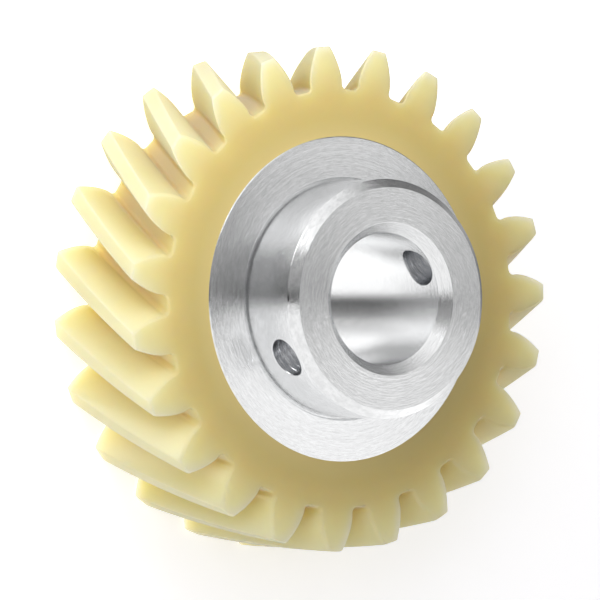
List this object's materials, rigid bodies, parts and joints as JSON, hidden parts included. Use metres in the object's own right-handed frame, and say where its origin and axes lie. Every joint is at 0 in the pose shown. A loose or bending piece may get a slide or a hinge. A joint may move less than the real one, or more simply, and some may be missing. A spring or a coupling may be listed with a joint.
{
  "type": "worm wheel",
  "caption": "Worm wheel with a moulded nylon ring of helical teeth on a turned aluminium hub, with a chamfered shaft bore and a boss cross-drilled for a drive pin.",
  "frame": {"origin": "on the wheel's axis at the hub's back face, which is the lowest face; the wheel stands on it with the boss up", "axes": "+Z is the wheel's axis, pointing out of the boss face; +X runs along the cross hole in the boss; +Y completes the right-handed frame"},
  "size_m": [0.049, 0.049, 0.022],
  "materials": {
    "aluminium": "turned, with fine concentric tool marks, semi-bright",
    "nylon": "natural nylon, cream-yellow, slightly translucent, soft gloss"
  },
  "bodies": {
    "root": {"hub": "aluminium", "gear_ring": "nylon"}
  },
  "joints": []
}
